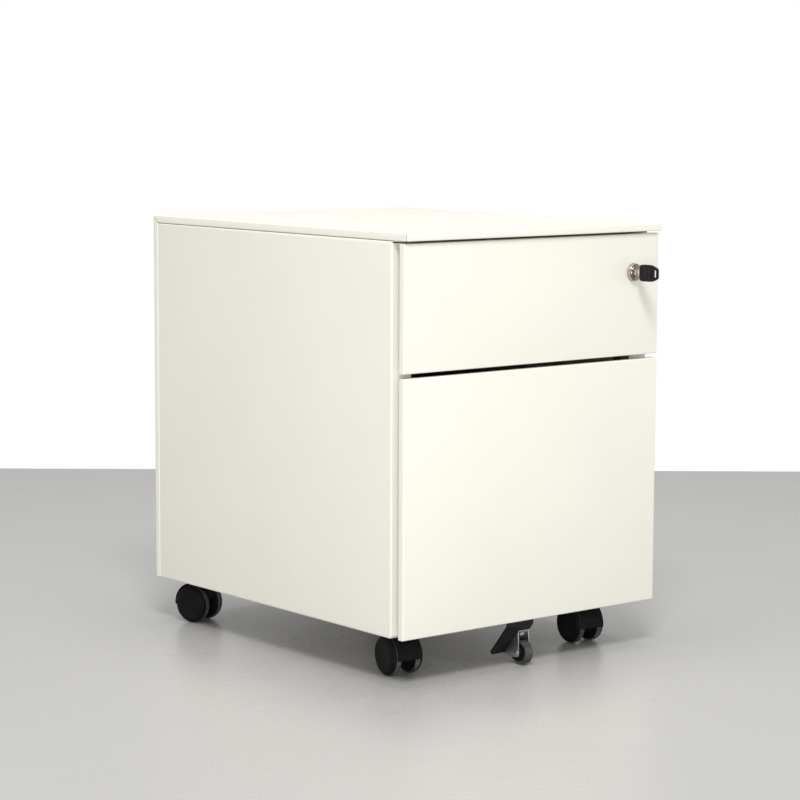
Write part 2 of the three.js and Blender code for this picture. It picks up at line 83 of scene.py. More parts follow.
class Nodes:
    """A material's node tree, with short calls for what the finishes below share."""

    def __init__(self, name):
        self.material = bpy.data.materials.new(name)
        self.material.use_nodes = True
        self.tree = self.material.node_tree
        self.tree.nodes.clear()
        self.output = self.add("ShaderNodeOutputMaterial")
        self.shader = self.add("ShaderNodeBsdfPrincipled")
        self.link(self.shader.outputs["BSDF"], self.output.inputs["Surface"])
        self.coords = self.add("ShaderNodeTexCoord").outputs["Object"]
        self.height = None

    def add(self, kind, **settings):
        node = self.tree.nodes.new(kind)
        for key, value in settings.items():
            setattr(node, key, value)
        return node

    def link(self, source, target):
        self.tree.links.new(source, target)

    def fixed(self, **values):
        """Sets the shader's own sockets, by names with spaces as underscores."""
        for name, value in values.items():
            self.shader.inputs[name.replace("_", " ")].default_value = value

    def noise(self, scale, detail=3.0, rough=0.5, stretch=(1, 1, 1)):
        mapping = self.add("ShaderNodeMapping")
        mapping.inputs["Scale"].default_value = stretch
        self.link(self.coords, mapping.inputs["Vector"])
        node = self.add("ShaderNodeTexNoise")
        node.inputs["Scale"].default_value = scale
        node.inputs["Detail"].default_value = detail
        node.inputs["Roughness"].default_value = rough
        self.link(mapping.outputs["Vector"], node.inputs["Vector"])
        return node.outputs["Fac"]

    def spread(self, source, low, high, to_low, to_high):
        """Maps a range of the source to a range of values."""
        node = self.add("ShaderNodeMapRange")
        for name, value in {"From Min": low, "From Max": high, "To Min": to_low, "To Max": to_high}.items():
            node.inputs[name].default_value = value
        self.link(source, node.inputs["Value"])
        return node.outputs["Result"]

    def mix(self, factor, first, second):
        """Mixes two colours, or a colour output and a colour."""
        node = self.add("ShaderNodeMix", data_type="RGBA")
        self.link(factor, node.inputs["Factor"])
        for value, socket in ((first, node.inputs["A"]), (second, node.inputs["B"])):
            if isinstance(value, tuple):
                socket.default_value = (*value, 1)
            else:
                self.link(value, socket)
        return node.outputs["Result"]

    def colour(self, source):
        self.link(source, self.shader.inputs["Base Color"])

    def roughness(self, source):
        self.link(source, self.shader.inputs["Roughness"])

    def bump(self, source, strength, distance):
        """Adds a layer of surface relief. Layers stack in the order they are added."""
        node = self.add("ShaderNodeBump")
        node.inputs["Strength"].default_value = strength
        node.inputs["Distance"].default_value = distance
        self.link(source, node.inputs["Height"])
        if self.height is not None:
            self.link(self.height, node.inputs["Normal"])
        self.height = node.outputs["Normal"]
        self.link(self.height, self.shader.inputs["Normal"])


def tinted(colour, factor):
    return tuple(min(1.0, channel * factor) for channel in colour)


def powder_coat(name, colour, rough, peel=0.16, gloss=0.5):
    """Baked powder paint: an orange-peel skin over sheet that isn't quite flat, with faint handling marks."""
    m = Nodes(name)
    cloud = m.noise(7.0, 4.0, 0.55)
    speck = m.noise(900.0, 2.0, 0.6)
    soft = m.mix(m.spread(cloud, 0.3, 0.7, 0.0, 1.0), tinted(colour, 0.985), tinted(colour, 1.01))
    m.colour(m.mix(m.spread(speck, 0.62, 0.75, 0.0, 0.12), soft, tinted(colour, 0.86)))
    smudges = m.noise(16.0, 5.0, 0.62)
    m.roughness(m.spread(smudges, 0.3, 0.7, rough - 0.05, rough + 0.06))
    m.bump(m.noise(3.2, 1.0, 0.4), 0.35, 0.0012)
    m.bump(m.noise(620.0, 2.0, 0.5), peel, 0.00012)
    m.fixed(Specular_IOR_Level=gloss)
    return m.material


def plated_steel(name, colour, rough, grain=(1, 1, 1), spangle=0.0):
    """Plated steel: a cloudy sheen, fine scratches along the grain, and a spangle on zinc."""
    m = Nodes(name)
    cloud = m.noise(60.0, 4.0, 0.6)
    tone = m.mix(m.spread(cloud, 0.32, 0.68, 0.0, 1.0), tinted(colour, 0.86), tinted(colour, 1.08))
    if spangle:
        cells = m.add("ShaderNodeTexVoronoi", feature="F1")
        cells.inputs["Scale"].default_value = 260.0
        m.link(m.coords, cells.inputs["Vector"])
        tone = m.mix(m.spread(cells.outputs["Distance"], 0.0, 0.9, 0.0, spangle), tone, tinted(colour, 0.72))
    m.colour(tone)
    scratches = m.noise(420.0, 3.0, 0.7, grain)
    m.roughness(m.spread(scratches, 0.25, 0.75, rough - 0.08, rough + 0.10))
    m.bump(scratches, 0.12, 0.00005)
    m.fixed(Metallic=1.0)
    return m.material


def moulded(name, colour, rough, texture=700.0, depth=0.0001, dust=0.12, gloss=0.5):
    """Moulded plastic: a fine spark-eroded texture, slight sink and a little dust in the low spots."""
    m = Nodes(name)
    dusting = m.noise(70.0, 5.0, 0.65)
    m.colour(m.mix(m.spread(dusting, 0.5, 0.8, 0.0, dust), tinted(colour, 1.0), (0.34, 0.32, 0.30)))
    grain = m.noise(texture, 3.0, 0.6)
    m.roughness(m.spread(dusting, 0.3, 0.7, rough - 0.04, rough + 0.10))
    m.bump(m.noise(45.0, 1.0, 0.4), 0.2, 0.0004)
    m.bump(grain, 0.25, depth)
    m.fixed(Specular_IOR_Level=gloss)
    return m.material


def rubber(name, colour, rough):
    """A wheel's tread: scuffed along its run, with pale dust worked into it."""
    m = Nodes(name)
    scuffs = m.noise(150.0, 6.0, 0.7, (0.25, 1, 1))
    patches = m.noise(38.0, 3.0, 0.6)
    worn = m.mix(m.spread(scuffs, 0.42, 0.72, 0.0, 0.55), tinted(colour, 0.8), tinted(colour, 1.9))
    m.colour(m.mix(m.spread(patches, 0.45, 0.75, 0.0, 0.35), worn, (0.30, 0.28, 0.26)))
    m.roughness(m.spread(scuffs, 0.3, 0.7, rough - 0.1, rough + 0.08))
    m.bump(scuffs, 0.35, 0.00015)
    return m.material


IVORY = (0.80, 0.782, 0.708)
FINISH = {
    "ivory_paint": powder_coat("ivory_powder_coat", IVORY, 0.42),
    "zinc_steel": plated_steel("bright_zinc", (0.62, 0.63, 0.62), 0.36, (1, 0.05, 1), spangle=0.5),
    "nickel": plated_steel("satin_nickel", (0.47, 0.43, 0.375), 0.27, (1, 1, 0.1)),
    "black_paint": powder_coat("black_satin_paint", (0.006, 0.006, 0.0065), 0.40, peel=0.3, gloss=0.25),
    "black_plastic": moulded("black_nylon", (0.0065, 0.0065, 0.007), 0.48, dust=0.03, gloss=0.1),
    "key_plastic": moulded("key_head_plastic", (0.009, 0.009, 0.011), 0.42, 900.0, 0.00007, 0.04, 0.14),
    "grey_tyre": rubber("grey_tread", (0.040, 0.038, 0.039), 0.6),
    "white_plastic": moulded("white_nylon", (0.62, 0.61, 0.56), 0.5, 500.0, 0.00008, 0.25),
}
CASTER_TREAD = rubber("caster_tread_rubber", (0.062, 0.061, 0.062), 0.6)
# Painted shade: the key's pivot pin is coloured near black so that its ends, seen in the bores of the key's
# cheeks, read as the dark hollow there.
PIN_SHADE_STEEL = plated_steel("pin_steel_with_painted_shade", (0.05, 0.05, 0.052), 0.35)

# ---- Two-dimensional outlines -------------------------------------------------------------------------


def arc(centre, radius, start, stop, steps):
    """Points of an arc, from start to stop in degrees."""
    angles = [math.radians(start + (stop - start) * i / steps) for i in range(steps + 1)]
    return [(centre[0] + radius * math.cos(a), centre[1] + radius * math.sin(a)) for a in angles]


def rounded(points, radius, steps=4, closed=True):
    """The outline with each corner filleted. radius is one number, or one for each point."""
    radii = radius if isinstance(radius, (list, tuple)) else [radius] * len(points)
    result = []
    for i, point in enumerate(points):
        here = Vector(point)
        is_end = not closed and i in (0, len(points) - 1)
        if radii[i] <= 0 or is_end:
            result.append(tuple(here))
            continue
        before = Vector(points[i - 1]) - here
        after = Vector(points[(i + 1) % len(points)]) - here
        half = before.angle(after) / 2
        reach = min(radii[i] / math.tan(half), 0.48 * before.length, 0.48 * after.length)
        r = reach * math.tan(half)
        centre = here + (before.normalized() + after.normalized()).normalized() * (r / math.sin(half))
        start = here + before.normalized() * reach - centre
        stop = here + after.normalized() * reach - centre
        turn = start.angle_signed(stop)
        for k in range(steps + 1):
            spoke = start.copy()
            spoke.rotate(Matrix.Rotation(-turn * k / steps, 2))
            result.append(tuple(centre + spoke))
    return result


def thickened(points, thickness):
    """A closed outline round an open line, with the line in its middle."""
    line = [Vector(p) for p in points]
    sides = {1: [], -1: []}
    for i, point in enumerate(line):
        before = (point - line[i - 1]).normalized() if i else None
        after = (line[i + 1] - point).normalized() if i + 1 < len(line) else before
        before = before or after
        normal = Vector((-before.y - after.y, before.x + after.x)).normalized()
        reach = thickness / 2 / max(0.3, normal.dot(Vector((-after.y, after.x))))
        for sign in sides:
            sides[sign].append(tuple(point + normal * reach * sign))
    return sides[1] + sides[-1][::-1]


# ---- Pieces -------------------------------------------------------------------------------------------


def linked(name, data):
    """A new object in the scene."""
    thing = bpy.data.objects.new(name, data)
    bpy.context.scene.collection.objects.link(thing)
    return thing


def piece(name, mesh, body, slot, replaces=(), material=None, bevel=0.0, segments=2, sheet=0.0, offset=-1.0):
    """A finished object from a bmesh in row-frame metres. bevel rounds its edges, and sheet is the
    thickness given to an open surface, both in millimetres. The thickness lies behind the surface, or on both
    sides of it at offset 0."""
    bmesh.ops.remove_doubles(mesh, verts=mesh.verts, dist=1e-6)
    if not sheet:
        bmesh.ops.recalc_face_normals(mesh, faces=mesh.faces)
    data = bpy.data.meshes.new(name)
    mesh.to_mesh(data)
    mesh.free()
    data.materials.append(material or FINISH[slot])
    data.shade_smooth()
    data.set_sharp_from_angle(angle=math.radians(32))
    thing = linked(name, data)
    if sheet:
        solid = thing.modifiers.new("sheet", "SOLIDIFY")
        solid.thickness = sheet / 1000
        solid.offset = offset
        solid.use_even_offset = True
    if bevel:
        edge = thing.modifiers.new("edges", "BEVEL")
        edge.width = bevel / 1000
        edge.segments = segments
        edge.limit_method = "ANGLE"
        edge.angle_limit = math.radians(50 if sheet else 40)
        edge.harden_normals = True
    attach(thing, body)
    if replaces:
        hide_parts(*replaces)
    return thing


def square(half):
    """The corners of a square about the origin."""
    return [(-half, -half), (half, -half), (half, half), (-half, half)]


AXIS_ORDER = {"x": lambda a, u, v: (a, u, v), "y": lambda a, u, v: (u, a, v), "z": lambda a, u, v: (u, v, a)}


def extruded(mesh, outline, axis, low, high, place=cab):
    """Adds a prism: an outline of (y, z), (x, z) or (x, y) points, swept along the x, y or z axis."""
    order = AXIS_ORDER[axis]
    ends = [[mesh.verts.new(place(*order(a, u, v))) for u, v in outline] for a in (low, high)]
    count = len(outline)
    for i in range(count):
        j = (i + 1) % count
        mesh.faces.new([ends[0][i], ends[0][j], ends[1][j], ends[1][i]])
    mesh.faces.new(ends[0][::-1])
    mesh.faces.new(ends[1])
    return mesh


def turned(mesh, profile, axis, centre, steps=48, place=cab):
    """Adds a body turned about an axis through centre. The profile's (radius, along) points close on
    themselves or start and end on the axis."""
    order = AXIS_ORDER[axis]
    at = {"x": (1, 2, 0), "y": (0, 2, 1), "z": (0, 1, 2)}[axis]
    rings = []
    for radius, along in profile:
        if radius < 1e-6:
            point = order(centre[at[2]] + along, centre[at[0]], centre[at[1]])
            rings.append([mesh.verts.new(place(*point))] * steps)
            continue
        ring = []
        for k in range(steps):
            angle = 2 * math.pi * k / steps
            u = centre[at[0]] + radius * math.cos(angle)
            v = centre[at[1]] + radius * math.sin(angle)
            ring.append(mesh.verts.new(place(*order(centre[at[2]] + along, u, v))))
        rings.append(ring)
    closes = profile[0][0] > 1e-6
    pairs = zip(rings, rings[1:] + rings[:1]) if closes else zip(rings, rings[1:])
    for first, second in pairs:
        for k in range(steps):
            j = (k + 1) % steps
            corners = [first[k], first[j], second[j], second[k]]
            unique = list(dict.fromkeys(corners))
            if len(unique) > 2:
                mesh.faces.new(unique)
    return mesh


def turned_piece(name, profile, axis, centre, steps, body, slot, replaces=(), material=None, place=cab):
    """A finished object that is one body turned about an axis."""
    piece(name, turned(bmesh.new(), profile, axis, centre, steps, place), body, slot, replaces, material)


def plate(mesh, loops, axis, low, high, bevel=0.0, place=cab):
    """Adds a flat plate with holes. The first loop is the outline and the others are the holes. Its edges are
    rounded by bevel."""
    curve = bpy.data.curves.new("outline", "CURVE")
    curve.dimensions = "2D"
    curve.fill_mode = "BOTH"
    curve.extrude = max((high - low) / 2 - bevel, 0.01)
    curve.bevel_depth = bevel
    curve.bevel_resolution = 2
    curve.offset = -bevel
    for loop in loops:
        spline = curve.splines.new("POLY")
        spline.points.add(len(loop) - 1)
        spline.use_cyclic_u = True
        for point, (u, v) in zip(spline.points, loop):
            point.co = (u, v, 0, 1)
    holder = linked("outline", curve)
    bpy.context.view_layer.update()
    flat = bpy.data.meshes.new_from_object(holder.evaluated_get(bpy.context.evaluated_depsgraph_get()))
    bpy.data.objects.remove(holder)
    order = AXIS_ORDER[axis]
    middle = (low + high) / 2
    verts = [mesh.verts.new(place(*order(middle + v.co.z, v.co.x, v.co.y))) for v in flat.vertices]
    for polygon in flat.polygons:
        corners = list(dict.fromkeys(verts[i] for i in polygon.vertices))
        if len(corners) > 2:
            mesh.faces.new(corners)
    bpy.data.meshes.remove(flat)
    return mesh


HEM_RADIUS = 1.1


def flange_profile(flanges, radius):
    """The outer line of a folded edge as (outward, depth) points, from the end of the flat panel. flanges
    lists (length, bend in degrees), measured over the outside of the bends."""
    point = Vector((-radius, 0))
    heading = 0.0
    line = [tuple(point)]
    for i, (length, bend) in enumerate(flanges):
        r = radius if bend <= 90 else HEM_RADIUS
        centre = point + Vector((-math.sin(heading), math.cos(heading))) * r
        steps = 5 if bend <= 90 else 8
        for k in range(1, steps + 1):
            a = heading + math.radians(bend) * k / steps
            line.append(tuple(centre + Vector((math.sin(a), -math.cos(a))) * r))
        heading += math.radians(bend)
        point = Vector(line[-1])
        after = flanges[i + 1] if i + 1 < len(flanges) else None
        next_setback = 0 if after is None else (radius if after[1] <= 90 else HEM_RADIUS)
        straight = length - (r if bend <= 90 else 0) - next_setback
        point = point + Vector((math.cos(heading), math.sin(heading))) * straight
        line.append(tuple(point))
    return line


def folded(mesh, origin, u, v, size, sides, radius=1.5, gap=0.14, mirror=False):
    """Adds the outer skin of a folded sheet panel. Its flat face spans size along u and v from origin, and
    looks along u x v. sides gives the flanges on the edges u0, u1, v0 and v1, which bend away from that side.
    A side's trim is (start, end) in millimetres, and its slope cuts the ends back in proportion to the depth
    past its ease. gap is left between neighbouring flanges."""
    u, v, origin = Vector(u), Vector(v), Vector(origin)
    out = u.cross(v)

    def put(a, b, depth):
        point = origin + u * a + v * b - out * depth
        return mesh.verts.new(cab(-point.x if mirror else point.x, point.y, point.z))

    inset = {key: radius if sides.get(key) else 0 for key in ("u0", "u1", "v0", "v1")}
    a0, a1 = inset["u0"], size[0] - inset["u1"]
    b0, b1 = inset["v0"], size[1] - inset["v1"]
    mesh.faces.new([put(a0, b0, 0), put(a1, b0, 0), put(a1, b1, 0), put(a0, b1, 0)])
    for key, side in sides.items():
        if not side:
            continue
        along_u = key[0] == "v"
        length = size[0] if along_u else size[1]
        near, far = ("u0", "u1") if along_u else ("v0", "v1")
        trim, slope = side.get("trim", (0, 0)), side.get("slope", (0, 0))
        previous = None
        for outward, depth in flange_profile(side["flanges"], radius):
            share = min(1.0, depth / radius)
            ends = []
            for i, neighbour in enumerate((near, far)):
                mitre = -outward + gap * share if sides.get(neighbour) else 0
                ends.append(mitre + trim[i] * share + slope[i] * max(0.0, depth - side.get("ease", 0)))
            start, stop = ends[0], length - ends[1]
            across = -outward if key[1] == "0" else (size[1] if along_u else size[0]) + outward
            if along_u:
                pair = [put(start, across, depth), put(stop, across, depth)]
            else:
                pair = [put(across, start, depth), put(across, stop, depth)]
            if previous:
                mesh.faces.new([previous[0], previous[1], pair[1], pair[0]])
            previous = pair
    return mesh


def sheet_piece(name, body, node, bevel=0.22, thickness=1.0, slot="ivory_paint", **panel):
    """A piece of folded sheet that replaces a CAD node. panel holds the settings of folded()."""
    mesh = folded(bmesh.new(), **panel)
    bmesh.ops.remove_doubles(mesh, verts=mesh.verts, dist=1e-6)
    bmesh.ops.recalc_face_normals(mesh, faces=mesh.faces)
    out = Vector(panel["u"]).cross(Vector(panel["v"]))
    if panel.get("mirror"):
        out.x = -out.x
    flat = max(mesh.faces, key=lambda face: face.calc_area())
    if flat.normal.dot(out) < 0:
        bmesh.ops.reverse_faces(mesh, faces=mesh.faces)
    piece(name, mesh, body, slot, [node], bevel=bevel, sheet=thickness)


def refined(node, body, slot, bevel):
    """A CAD node's own solid, cleaned to whole faces and given rounded edges."""
    mesh = bmesh.new()
    mesh.from_mesh(frame["nodes"][node].data)
    bmesh.ops.remove_doubles(mesh, verts=mesh.verts, dist=1e-6)
    bmesh.ops.dissolve_limit(mesh, angle_limit=math.radians(1), verts=mesh.verts, edges=mesh.edges)
    piece(f"{node}_part", mesh, body, slot, [node], bevel=bevel)


X, Y, Z = (1, 0, 0), (0, 1, 0), (0, 0, 1)


def edge_of(*lengths, hem=0, **more):
    """One of the sides of folded(): square flanges of these lengths, a hem folded flat, and its settings."""
    flanges = [(length, 90) for length in lengths]
    if hem:
        flanges.append((hem, 180))
    return {"flanges": flanges, **more}


# ---- Carcass ------------------------------------------------------------------------------------------

low, high = cad_mm("top_cover")
WIDTH, DEPTH = (high - low).xy
HALF = WIDTH / 2
TOP = high.z
BEND = 1.5  # radius of the bends of the top cover and the back panel
RIM = 10  # depth of their rims
TOP_RETURN, BACK_RETURN = 15, 20

rim_side = edge_of(RIM, TOP_RETURN, slope=(0, 1), trim=(0, 0.2))
sheet_piece(
    "top_cover_sheet", "carcass", "top_cover",
    origin=(-HALF, 0, TOP), u=X, v=Y, size=(WIDTH, DEPTH), radius=BEND, gap=1.05,
    sides={"u0": rim_side, "u1": rim_side, "v0": edge_of(RIM, TOP_RETURN), "v1": edge_of(BEND)})

back_low = cad_mm("back_panel")[0].z
back_height = TOP - BEND - 0.12 - back_low
rim_side = edge_of(RIM, BACK_RETURN, slope=(0, 1), ease=BEND - 0.1)
sheet_piece(
    "back_panel_sheet", "carcass", "back_panel",
    origin=(HALF, DEPTH, back_low), u=(-1, 0, 0), v=Z, size=(WIDTH, back_height), radius=BEND,
    sides={"u0": rim_side, "u1": rim_side, "v0": edge_of(RIM, BACK_RETURN)})

SIDE_RETURN, SIDE_FLANGE = 30, 20  # the side panel's front flange and its others
CORNER_NOTCH, TOP_NOTCH = 3, 2.2
for hand in ("right", "left"):
    low, high = cad_mm("side_panel_right")
    sheet_piece(
        f"side_panel_{hand}_sheet", "carcass", f"side_panel_{hand}",
        origin=(high.x, low.y, low.z), u=Y, v=Z, size=(high.y - low.y, high.z - low.z + 0.4), radius=1.8,
        mirror=hand == "left",
        sides={
            "u0": edge_of(SIDE_RETURN, trim=(CORNER_NOTCH, TOP_NOTCH)),
            "u1": edge_of(SIDE_FLANGE),
            "v0": edge_of(SIDE_FLANGE, trim=(CORNER_NOTCH, 0)),
            "v1": edge_of(SIDE_FLANGE),
        })
    low, high = cad_mm("rear_post_right")
    wall = edge_of(high.x - low.x)
    sheet_piece(
        f"rear_post_{hand}_channel", "carcass", f"rear_post_{hand}", thickness=1.5, slot="zinc_steel",
        origin=tuple(low), u=Z, v=Y, size=(high.z - low.z, high.y - low.y), radius=2.2,
        mirror=hand == "left", sides={"v0": wall, "v1": wall})

FRONT_LIP, PAN_WALL = 4.6, 12
low, high = cad_mm("base_pan")
wall = edge_of(PAN_WALL)
sheet_piece(
    "base_pan_sheet", "carcass", "base_pan",
    origin=tuple(low), u=Y, v=X, size=(high.y - low.y, high.x - low.x), radius=1.5,
    sides={"u0": edge_of(FRONT_LIP), "u1": wall, "v0": wall, "v1": wall})

low, high = cad_mm("front_top_rail")
wall = edge_of(high.y - low.y)
sheet_piece(
    "front_top_rail_channel", "carcass", "front_top_rail", thickness=1.2,
    origin=tuple(low), u=X, v=Z, size=(high.x - low.x, high.z - low.z), radius=2.0,
    sides={"v0": wall, "v1": wall})

# ---- Drawers ------------------------------------------------------------------------------------------

FRONT_RETURN, BOX_HEM = 15, 9

for level in ("upper", "lower"):
    low, high = cad_mm(f"{level}_drawer_front")
    fold = edge_of(high.y - low.y, FRONT_RETURN)
    sheet_piece(
        f"{level}_drawer_front_sheet", f"{level}_drawer", f"{level}_drawer_front",
        origin=tuple(low), u=X, v=Z, size=(high.x - low.x, high.z - low.z), radius=1.6,
        sides={side: fold for side in ("u0", "u1", "v0", "v1")})

    low, high = cad_mm(f"{level}_drawer_box")
    tall = high.z - low.z
    hemmed = edge_of(tall, hem=BOX_HEM)
    long_side = edge_of(tall) if level == "lower" else hemmed  # the file rails cap the lower box's long sides
    sheet_piece(
        f"{level}_drawer_box_sheet", f"{level}_drawer", f"{level}_drawer_box",
        origin=tuple(low), u=Y, v=X, size=(high.y - low.y, high.x - low.x), radius=1.8,
        sides={"u0": hemmed, "u1": hemmed, "v0": long_side, "v1": long_side})

# ---- Slides -------------------------------------------------------------------------------------------


def channel_outline(open_x, web_x, middle, half, wall):
    """A rounded C profile in the (x, z) plane, open towards open_x."""
    away = 1 if web_x > open_x else -1
    top, web = half - wall / 2, web_x - away * wall / 2
    line = [(open_x, middle + top), (web, middle + top), (web, middle - top), (open_x, middle - top)]
    return thickened(rounded(line, 2.6, 5, closed=False), wall)


SLIDE_WALL = 1.2
OUTER_WEB, OUTER_FRONT = 178.9, 30  # an outer member's web, from the cabinet's middle, and its front end
TAB_INNER, TAB_OUTER, TAB_HALF, TAB_CORNER = 178.0, 200, 15, 3  # its tab, to the side panel's front flange
BRIDGE_INNER = 177.8


def slide_member(name, body, node):
    """A slide's rail. An outer one also has a tab across its front end, on a short bridge."""
    low, high = cad_mm(node)
    mesh = bmesh.new()
    middle, half = (low.z + high.z) / 2, (high.z - low.z) / 2
    near, far = (low.x, high.x) if low.x > 0 else (high.x, low.x)
    start = low.y
    if "outer" in name:
        far = math.copysign(OUTER_WEB, far)
        start = OUTER_FRONT
    open_x, web_x = (far, near) if "inner" in name else (near, far)
    extruded(mesh, channel_outline(open_x, web_x, middle, half, SLIDE_WALL), "y", start, high.y)

    def cross_plate(inner, outer, tall, corner, back):
        bottom, top = middle - tall, middle + tall
        corners = [(inner, bottom), (outer, bottom), (outer, top), (inner, top)]
        outline = rounded(corners, [0, corner, corner, 0]) if corner else corners
        extruded(mesh, [(math.copysign(u, far), v) for u, v in outline], "y", low.y, back)

    if "outer" in name:
        cross_plate(TAB_INNER, TAB_OUTER, TAB_HALF, TAB_CORNER, low.y + SLIDE_WALL)
        cross_plate(BRIDGE_INNER, OUTER_WEB, TAB_HALF - 1, 0, start + 1)
    piece(name, mesh, body, "zinc_steel", [node], bevel=0.18, segments=1)


RAIL_SHEET = 1.0
for hand in ("right", "left"):
    for level, member, body in (
        ("upper", "outer", "carcass"),
        ("upper", "inner", "upper_drawer"),
        ("lower", "outer", "carcass"),
        ("lower", "middle", f"middle_slide_{hand}"),
        ("lower", "inner", "lower_drawer"),
    ):
        node = f"{level}_slide_{member}_{hand}"
        slide_member(f"{node}_rail", body, node)

    node = f"file_rail_{hand}"
    low, high = cad_mm(node)
    inner, outer, crest = low.x + RAIL_SHEET / 2, high.x - RAIL_SHEET / 2, high.z - RAIL_SHEET / 2
    line = [(inner, low.z), (inner, crest), (outer, crest), (outer, low.z)]
    section = thickened(rounded(line, 1.2, 4, closed=False), RAIL_SHEET)
    mesh = extruded(bmesh.new(), section, "y", low.y, high.y)
    piece(f"{node}_cap", mesh, "lower_drawer", "zinc_steel", [node], bevel=0.15, segments=1)

# ---- Lock, key and lock bar ---------------------------------------------------------------------------

low, high = cad_mm("lock_rosette")
LOCK = ((low.x + high.x) / 2, 0, (low.z + high.z) / 2)

# The profiles of turned parts are (radius, distance along the axis) points.
ring = [
    (9.65, 0.7), (9.85, 0.2), (10.15, 0.0), (10.4, 0.15), (10.75, 0.8),
    (11.35, 3.9), (11.5, 4.4), (11.5, high.y), (9.65, high.y)]
turned_piece("lock_rosette_ring", ring, "y", LOCK, 64, "upper_drawer", "nickel", ["lock_rosette"])

THREAD_TURNS, THREAD_CREST, THREAD_ROOT = 17, 9.3, 8.95
barrel = [(6.95, -1.2), (7.2, -1.5), (8.8, -1.5), (9.25, -1.05), (THREAD_CREST, 10.8)]
for turn in range(THREAD_TURNS):
    barrel += [(THREAD_CREST, 11.2 + turn), (THREAD_ROOT, 11.7 + turn)]
barrel += [(THREAD_CREST, 29.4), (9.0, 30), (6.95, 30)]
turned_piece("lock_housing_barrel", barrel, "y", LOCK, 48, "upper_drawer", "nickel", ["lock_housing"])

blade_low, blade_high = cad_mm("key_blade")
slot_half = (blade_high.x - blade_low.x) / 2 + 0.3
KEYWAY_HALF = 4.3


def circle(radius, steps, centre=(LOCK[0], LOCK[2])):
    return arc(centre, radius, 0, 360 * (1 - 1 / steps), steps - 1)


keyway = rounded([(LOCK[0] + slot_half * i, LOCK[2] + KEYWAY_HALF * k) for i, k in square(1)], 0.4, 2)
mesh = plate(bmesh.new(), [circle(6.6, 40), keyway], "y", -2, 18.6, 0.3)
plug = [(0, 18.3), (6.5, 18.3), (6.5, 30), (6.1, 30.4), (3, 30.4), (3, 34.7), (2.7, 35), (0, 35)]
turned(mesh, plug, "y", LOCK, 40)
piece("lock_plug_barrel", mesh, "lock_barrel", "nickel", ["lock_plug"])

for node, body, slot, bevel in (
    ("lock_nut", "upper_drawer", "zinc_steel", 0.5),
    ("lock_cam", "lock_barrel", "zinc_steel", 0.35),
    ("key_blade", "lock_barrel", "nickel", 0.25),
    ("lock_bar", "locking_bar", "zinc_steel", 0.3),
    ("lower_drawer_catch", "lower_drawer", "zinc_steel", 0.3),
    ("lock_bar_guide_lower", "carcass", "white_plastic", 0.5),
    ("lock_bar_guide_upper", "carcass", "white_plastic", 0.5),
):
    refined(node, body, slot, bevel)

low, high = cad_mm("key_pivot_pin")
PIVOT = (LOCK[0], (low.y + high.y) / 2, LOCK[2])
reach = (high.x - low.x) / 2
pin = [(0, -reach), (0.8, -reach), (1.2, -reach + 0.3), (1.2, reach - 0.3), (0.8, reach), (0, reach)]
# The rivet takes the near-black steel, painted shade for the key's bores.
turned_piece(
    "key_pivot_pin_rivet", pin, "x", PIVOT, 24, "lock_barrel", "nickel", ["key_pivot_pin"], PIN_SHADE_STEEL)

# The key's head: (y, half height) points of its outline, from the lock outwards, and the ring slot's box.
KEY_OUTLINE = [(-8, 8.6), (-10.5, 9.6), (-22, 10.8), (-29, 10.2), (-34.5, 8.4), (-38.6, 6.6), (-39.6, 4.8)]
RING_SLOT_OUT, RING_SLOT_IN, RING_SLOT_HALF = -36.8, -32.2, 4.6


def key_head():
    """A folding key's moulded head: cheeks round the blade's bow, a waist, and a thin slotted end."""
    x0, z0 = LOCK[0], LOCK[2]

    def half_at(y):
        for (y_in, half_in), (y_out, half_out) in zip(KEY_OUTLINE, KEY_OUTLINE[1:]):
            if y_out <= y <= y_in:
                return half_in + (half_out - half_in) * (y - y_in) / (y_out - y_in)
        return KEY_OUTLINE[-1][1]

    def part(y_near, y_far, shrink=0.0):
        ys = [y_near] + [y for y, _ in KEY_OUTLINE if y_far < y < y_near] + [y_far]
        upper = [(y, z0 + half_at(y) - shrink) for y in ys]
        lower = [(y, z0 - half_at(y) + shrink) for y in reversed(ys)]
        return rounded(upper + lower, 1.0, 3)

    mesh = bmesh.new()
    bore = circle(1.3, 20, (PIVOT[1], z0))
    for side in (-1, 1):
        x_in, x_out = sorted((x0 + side * 1.3, x0 + side * 2.2))
        plate(mesh, [part(-8, -21.6), bore], "x", x_in, x_out, 0.35)
    plate(mesh, [part(-21.3, -24.5, 0.8)], "x", x0 - 1.5, x0 + 1.5, 0.1)
    plate(mesh, [part(-22.3, -28.2)], "x", x0 - 2.17, x0 + 2.17, 0.35)
    low_z, high_z = z0 - RING_SLOT_HALF, z0 + RING_SLOT_HALF
    corners = [
        (RING_SLOT_OUT, low_z), (RING_SLOT_IN, low_z), (RING_SLOT_IN, high_z), (RING_SLOT_OUT, high_z)]
    ring_slot = rounded(corners, 1.2, 4)
    plate(mesh, [part(-26.5, -39.6), ring_slot], "x", x0 - 1.5, x0 + 1.5, 0.4)

    # Grip ribs across the edges of both cheeks.
    for y in (-10.6, -12.4, -14.2, -16.0):
        half = 9.6 + (y + 10.5) / (-11.5) * 1.2
        for side in (-1, 1):
            rib = [(y - 0.5, 0), (y + 0.5, 0), (y + 0.35, 0.7), (y - 0.35, 0.7)]
            rib = [(a, z0 + side * (half + b - 0.12)) for a, b in rib]
            for x in (-1.75, 1.75):
                extruded(mesh, rib, "x", x0 + x - 0.4, x0 + x + 0.4)
    return mesh


piece("key_head_shell", key_head(), "key_handle", "key_plastic", ["key_head"])

# ---- Anti-tip wheel -----------------------------------------------------------------------------------

